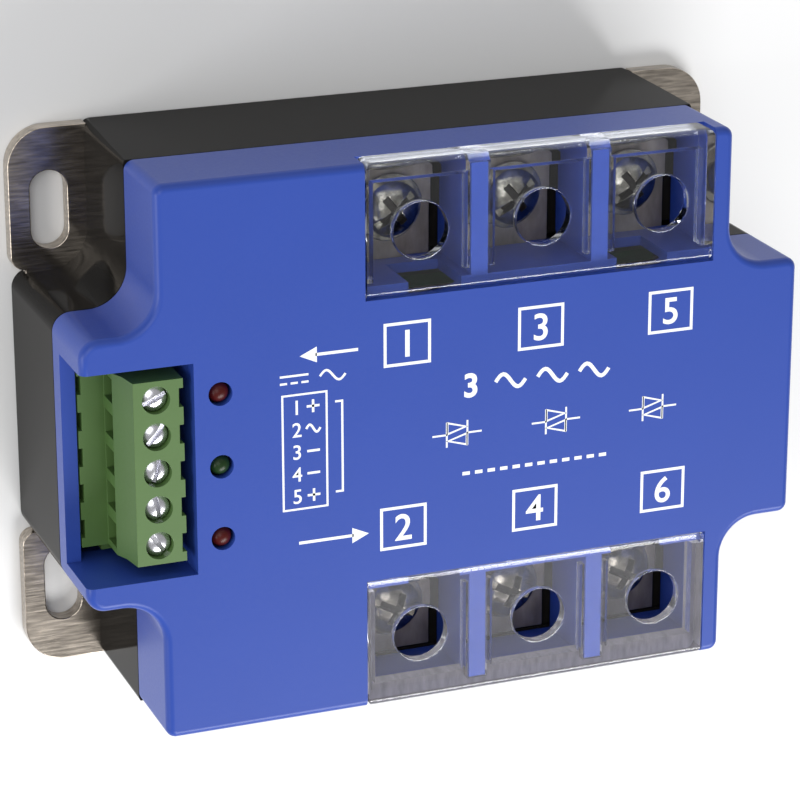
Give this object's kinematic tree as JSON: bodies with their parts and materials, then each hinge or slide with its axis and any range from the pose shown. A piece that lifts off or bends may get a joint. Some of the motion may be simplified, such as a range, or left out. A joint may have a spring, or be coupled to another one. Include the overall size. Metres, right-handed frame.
{
  "type": "solid state relay",
  "caption": "Panel-mount three-phase solid state relay with hinged clear terminal covers, clamping screws, status lamps and a pluggable control connector on a slotted metal base.",
  "frame": {"origin": "middle of the base plate's underside, on the mounting surface", "axes": "+X along the long side away from the control connector, +Y to the input terminals, +Z out of the face with the lamps and terminals"},
  "size_m": [0.104, 0.0786, 0.0348],
  "materials": {
    "plate_metal": "nickel-plated, finely brushed",
    "seal_silicone": "soft matte silicone",
    "housing_black": "glossy moulded, faint orange peel",
    "cover_blue": "satin moulded, very fine grain",
    "cover_clear": "clear polished polycarbonate",
    "terminal_metal": "nickel-plated, stamped",
    "screw_steel": "nickel-plated, bright",
    "ceramic_white": "fine sintered",
    "die_grey": "smooth",
    "contact_metal": "tin-plated",
    "gel_clear": "clear soft gel",
    "board_green": "solder resist",
    "chip_black": "moulded epoxy",
    "capacitor_yellow": "moulded box",
    "resistor_blue": "lacquered",
    "lamp_red": "tinted moulded lens",
    "lamp_green": "tinted moulded lens",
    "plug_green": "satin moulded",
    "plug_screw": "zinc-plated, bright"
  },
  "bodies": {
    "case": {"base_plate": "plate_metal", "base_seal": "seal_silicone", "housing": "housing_black", "top_cover": "cover_blue", "terminal_in_1": "terminal_metal", "terminal_in_2": "terminal_metal", "terminal_in_3": "terminal_metal", "terminal_out_1": "terminal_metal", "terminal_out_2": "terminal_metal", "terminal_out_3": "terminal_metal", "terminal_nuts": "screw_steel", "substrate_1": "ceramic_white", "substrate_2": "ceramic_white", "substrate_3": "ceramic_white", "thyristors_1": "die_grey", "thyristors_2": "die_grey", "thyristors_3": "die_grey", "gate_pins": "contact_metal", "potting": "gel_clear", "driver_board": "board_green", "opto_coupler_1": "chip_black", "opto_coupler_2": "chip_black", "opto_coupler_3": "chip_black", "snubber_caps": "capacitor_yellow", "snubber_resistors": "resistor_blue", "lamp_1": "lamp_red", "lamp_2": "lamp_green", "lamp_3": "lamp_red", "control_header": "plug_green", "header_pins": "contact_metal"},
    "input_lid": {"input_cover": "cover_clear"},
    "output_lid": {"output_cover": "cover_clear"},
    "plug": {"control_plug": "plug_green", "plug_contacts": "contact_metal"},
    "washer_in_1_body": {"washer_in_1": "screw_steel"},
    "screw_in_1_body": {"screw_in_1": "screw_steel"},
    "washer_in_2_body": {"washer_in_2": "screw_steel"},
    "screw_in_2_body": {"screw_in_2": "screw_steel"},
    "washer_in_3_body": {"washer_in_3": "screw_steel"},
    "screw_in_3_body": {"screw_in_3": "screw_steel"},
    "washer_out_1_body": {"washer_out_1": "screw_steel"},
    "screw_out_1_body": {"screw_out_1": "screw_steel"},
    "washer_out_2_body": {"washer_out_2": "screw_steel"},
    "screw_out_2_body": {"screw_out_2": "screw_steel"},
    "washer_out_3_body": {"washer_out_3": "screw_steel"},
    "screw_out_3_body": {"screw_out_3": "screw_steel"},
    "clamp_1_body": {"clamp_1": "contact_metal"},
    "clamp_screw_1_body": {"clamp_screw_1": "plug_screw"},
    "clamp_2_body": {"clamp_2": "contact_metal"},
    "clamp_screw_2_body": {"clamp_screw_2": "plug_screw"},
    "clamp_3_body": {"clamp_3": "contact_metal"},
    "clamp_screw_3_body": {"clamp_screw_3": "plug_screw"},
    "clamp_4_body": {"clamp_4": "contact_metal"},
    "clamp_screw_4_body": {"clamp_screw_4": "plug_screw"},
    "clamp_5_body": {"clamp_5": "contact_metal"},
    "clamp_screw_5_body": {"clamp_screw_5": "plug_screw"}
  },
  "joints": [
    {"name": "input_lid_hinge", "type": "hinge", "parent": "case", "child": "input_lid", "pos_m": [0.013, 0.02105, 0.03395], "axis": [1, 0, 0], "range_deg": [0, 95]},
    {"name": "output_lid_hinge", "type": "hinge", "parent": "case", "child": "output_lid", "pos_m": [0.013, -0.02105, 0.03395], "axis": [-1, 0, 0], "range_deg": [0, 95]},
    {"name": "washer_in_1_lift", "type": "slide", "parent": "case", "child": "washer_in_1_body", "axis": [0, 0, 1], "range_m": [0, 0.0035]},
    {"name": "screw_in_1_turn", "type": "hinge", "parent": "washer_in_1_body", "child": "screw_in_1_body", "pos_m": [-0.0046, 0.029, 0.0225], "axis": [0, 0, 1], "range_deg": [0, 1800]},
    {"name": "washer_in_2_lift", "type": "slide", "parent": "case", "child": "washer_in_2_body", "axis": [0, 0, 1], "range_m": [0, 0.0035]},
    {"name": "screw_in_2_turn", "type": "hinge", "parent": "washer_in_2_body", "child": "screw_in_2_body", "pos_m": [0.013, 0.029, 0.0225], "axis": [0, 0, 1], "range_deg": [0, 1800]},
    {"name": "washer_in_3_lift", "type": "slide", "parent": "case", "child": "washer_in_3_body", "axis": [0, 0, 1], "range_m": [0, 0.0035]},
    {"name": "screw_in_3_turn", "type": "hinge", "parent": "washer_in_3_body", "child": "screw_in_3_body", "pos_m": [0.0306, 0.029, 0.0225], "axis": [0, 0, 1], "range_deg": [0, 1800]},
    {"name": "washer_out_1_lift", "type": "slide", "parent": "case", "child": "washer_out_1_body", "axis": [0, 0, 1], "range_m": [0, 0.0035]},
    {"name": "screw_out_1_turn", "type": "hinge", "parent": "washer_out_1_body", "child": "screw_out_1_body", "pos_m": [-0.0046, -0.029, 0.0225], "axis": [0, 0, 1], "range_deg": [0, 1800]},
    {"name": "washer_out_2_lift", "type": "slide", "parent": "case", "child": "washer_out_2_body", "axis": [0, 0, 1], "range_m": [0, 0.0035]},
    {"name": "screw_out_2_turn", "type": "hinge", "parent": "washer_out_2_body", "child": "screw_out_2_body", "pos_m": [0.013, -0.029, 0.0225], "axis": [0, 0, 1], "range_deg": [0, 1800]},
    {"name": "washer_out_3_lift", "type": "slide", "parent": "case", "child": "washer_out_3_body", "axis": [0, 0, 1], "range_m": [0, 0.0035]},
    {"name": "screw_out_3_turn", "type": "hinge", "parent": "washer_out_3_body", "child": "screw_out_3_body", "pos_m": [0.0306, -0.029, 0.0225], "axis": [0, 0, 1], "range_deg": [0, 1800]},
    {"name": "plug_pull", "type": "slide", "parent": "case", "child": "plug", "axis": [0, 0, 1], "range_m": [0, 0.014]},
    {"name": "clamp_screw_1_turn", "type": "hinge", "parent": "plug", "child": "clamp_screw_1_body", "pos_m": [-0.0414, 0.00966, 0.032], "axis": [0, 0, 1], "range_deg": [-1296, 0]},
    {"name": "clamp_1_lift", "type": "slide", "parent": "plug", "child": "clamp_1_body", "axis": [0, 0, 1], "range_m": [0, 0.0018]},
    {"name": "clamp_screw_2_turn", "type": "hinge", "parent": "plug", "child": "clamp_screw_2_body", "pos_m": [-0.0414, 0.00458, 0.032], "axis": [0, 0, 1], "range_deg": [-1296, 0]},
    {"name": "clamp_2_lift", "type": "slide", "parent": "plug", "child": "clamp_2_body", "axis": [0, 0, 1], "range_m": [0, 0.0018]},
    {"name": "clamp_screw_3_turn", "type": "hinge", "parent": "plug", "child": "clamp_screw_3_body", "pos_m": [-0.0414, -0.0005, 0.032], "axis": [0, 0, 1], "range_deg": [-1296, 0]},
    {"name": "clamp_3_lift", "type": "slide", "parent": "plug", "child": "clamp_3_body", "axis": [0, 0, 1], "range_m": [0, 0.0018]},
    {"name": "clamp_screw_4_turn", "type": "hinge", "parent": "plug", "child": "clamp_screw_4_body", "pos_m": [-0.0414, -0.00558, 0.032], "axis": [0, 0, 1], "range_deg": [-1296, 0]},
    {"name": "clamp_4_lift", "type": "slide", "parent": "plug", "child": "clamp_4_body", "axis": [0, 0, 1], "range_m": [0, 0.0018]},
    {"name": "clamp_screw_5_turn", "type": "hinge", "parent": "plug", "child": "clamp_screw_5_body", "pos_m": [-0.0414, -0.01066, 0.032], "axis": [0, 0, 1], "range_deg": [-1296, 0]},
    {"name": "clamp_5_lift", "type": "slide", "parent": "plug", "child": "clamp_5_body", "axis": [0, 0, 1], "range_m": [0, 0.0018]}
  ],
  "couplings": [
    {"joint": "screw_in_1_turn", "follows": "washer_in_1_lift", "rad_per_m": 8975.9},
    {"joint": "screw_in_2_turn", "follows": "washer_in_2_lift", "rad_per_m": 8975.9},
    {"joint": "screw_in_3_turn", "follows": "washer_in_3_lift", "rad_per_m": 8975.9},
    {"joint": "screw_out_1_turn", "follows": "washer_out_1_lift", "rad_per_m": 8975.9},
    {"joint": "screw_out_2_turn", "follows": "washer_out_2_lift", "rad_per_m": 8975.9},
    {"joint": "screw_out_3_turn", "follows": "washer_out_3_lift", "rad_per_m": 8975.9},
    {"joint": "clamp_screw_1_turn", "follows": "clamp_1_lift", "rad_per_m": -12566},
    {"joint": "clamp_screw_2_turn", "follows": "clamp_2_lift", "rad_per_m": -12566},
    {"joint": "clamp_screw_3_turn", "follows": "clamp_3_lift", "rad_per_m": -12566},
    {"joint": "clamp_screw_4_turn", "follows": "clamp_4_lift", "rad_per_m": -12566},
    {"joint": "clamp_screw_5_turn", "follows": "clamp_5_lift", "rad_per_m": -12566}
  ]
}
